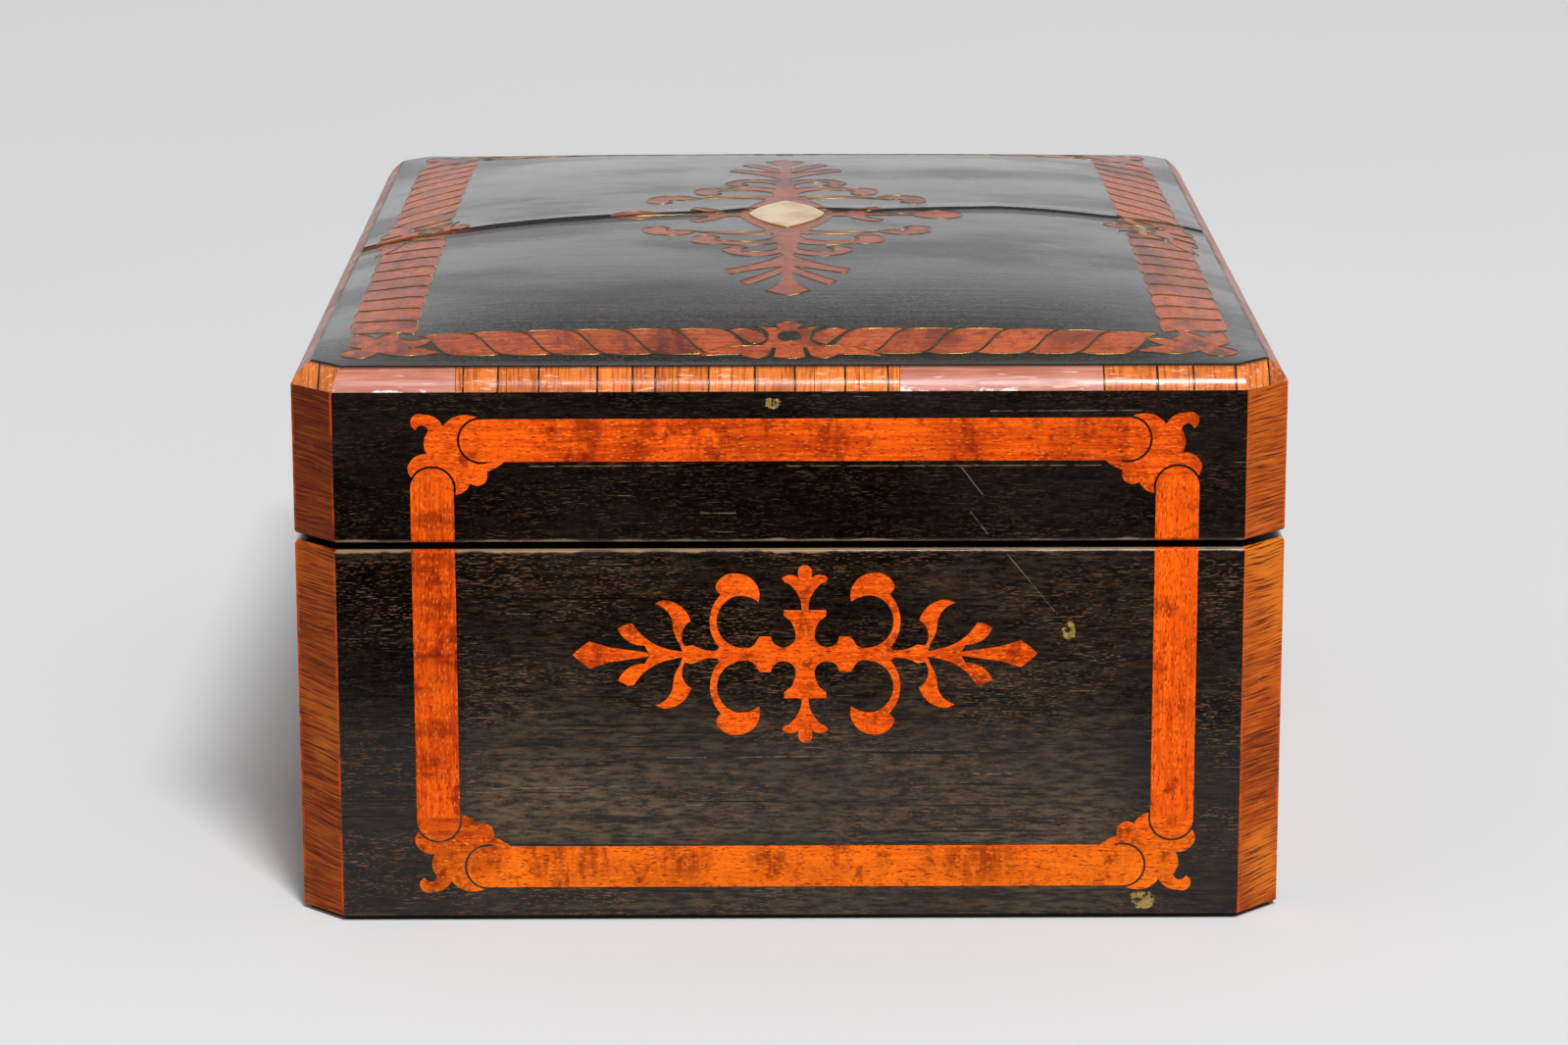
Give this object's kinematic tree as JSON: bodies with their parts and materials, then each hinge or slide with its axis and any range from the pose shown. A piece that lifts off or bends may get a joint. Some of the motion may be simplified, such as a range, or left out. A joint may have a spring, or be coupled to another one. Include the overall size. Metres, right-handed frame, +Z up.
{
  "type": "marquetry casket",
  "caption": "Chamfered marquetry casket with a hinged domed lid, box lock and a hidden drawer held by a pin.",
  "frame": {"origin": "middle of the underside, between the four outer sides", "axes": "+X along the length towards the drawer end, -Y towards the lock, +Z up"},
  "size_m": [0.27, 0.2016, 0.1228],
  "materials": {
    "ebony": "polished",
    "satinwood": "polished",
    "rosewood": "polished",
    "tulipwood": "polished",
    "pale_walnut": "satin",
    "cartouche": "polished",
    "carcase": "matte",
    "oak": "satin",
    "velvet": "pile",
    "baize": "felt",
    "brass": "aged",
    "steel": "dull"
  },
  "bodies": {
    "base": {"base_front_wall": "carcase", "base_right_wall": "carcase", "base_back_wall": "carcase", "base_left_wall": "carcase", "base_bottom_board": "carcase", "underside_baize": "baize", "base_rim_facing": "ebony", "base_front_veneer": "ebony", "base_right_veneer": "ebony", "base_back_veneer": "ebony", "base_left_veneer": "ebony", "base_front_inlay": "satinwood", "base_right_inlay": "satinwood", "base_back_inlay": "satinwood", "base_left_inlay": "satinwood", "base_corner_veneers": "rosewood", "escutcheon": "brass", "false_floor": "carcase", "drawer_runners": "carcase", "base_lining": "velvet", "hinge_base_leaves": "brass", "hinge_pins": "steel", "base_screws": "brass", "lock_case": "steel", "lock_selvedge": "brass"},
    "lid": {"lid_front_wall": "carcase", "lid_right_wall": "carcase", "lid_back_wall": "carcase", "lid_left_wall": "carcase", "lid_rim_facing": "ebony", "lid_board_left": "carcase", "lid_board_right": "carcase", "lid_front_veneer": "ebony", "lid_right_veneer": "ebony", "lid_back_veneer": "ebony", "lid_left_veneer": "ebony", "lid_front_inlay": "satinwood", "lid_right_inlay": "satinwood", "lid_back_inlay": "satinwood", "lid_left_inlay": "satinwood", "lid_corner_veneers": "rosewood", "lid_edge_banding": "tulipwood", "lid_edge_repairs": "pale_walnut", "lid_rope_border": "satinwood", "lid_flowers": "satinwood", "lid_arabesque": "satinwood", "lid_cartouche": "cartouche", "lid_top_veneer": "ebony", "lid_lining": "velvet", "hinge_lid_leaves": "brass", "lid_screws": "brass", "link_plate": "brass"},
    "bolt": {"lock_bolt": "steel"},
    "drawer": {"drawer_front": "oak", "drawer_face_veneer": "ebony", "drawer_sides": "oak", "drawer_back": "oak", "drawer_bottom": "oak"},
    "pin": {"drawer_pin": "brass"}
  },
  "joints": [
    {"name": "lid_hinge", "type": "hinge", "parent": "base", "child": "lid", "pos_m": [0, 0.09937, 0.07875], "axis": [-1, 0, 0], "range_deg": [0, 100]},
    {"name": "lock_slide", "type": "slide", "parent": "base", "child": "bolt", "axis": [1, 0, 0], "range_m": [0, 0.005]},
    {"name": "drawer_slide", "type": "slide", "parent": "base", "child": "drawer", "axis": [1, 0, 0], "range_m": [0, 0.118]},
    {"name": "pin_slide", "type": "slide", "parent": "base", "child": "pin", "axis": [0, 0, 1], "range_m": [-0.006, 0]}
  ]
}
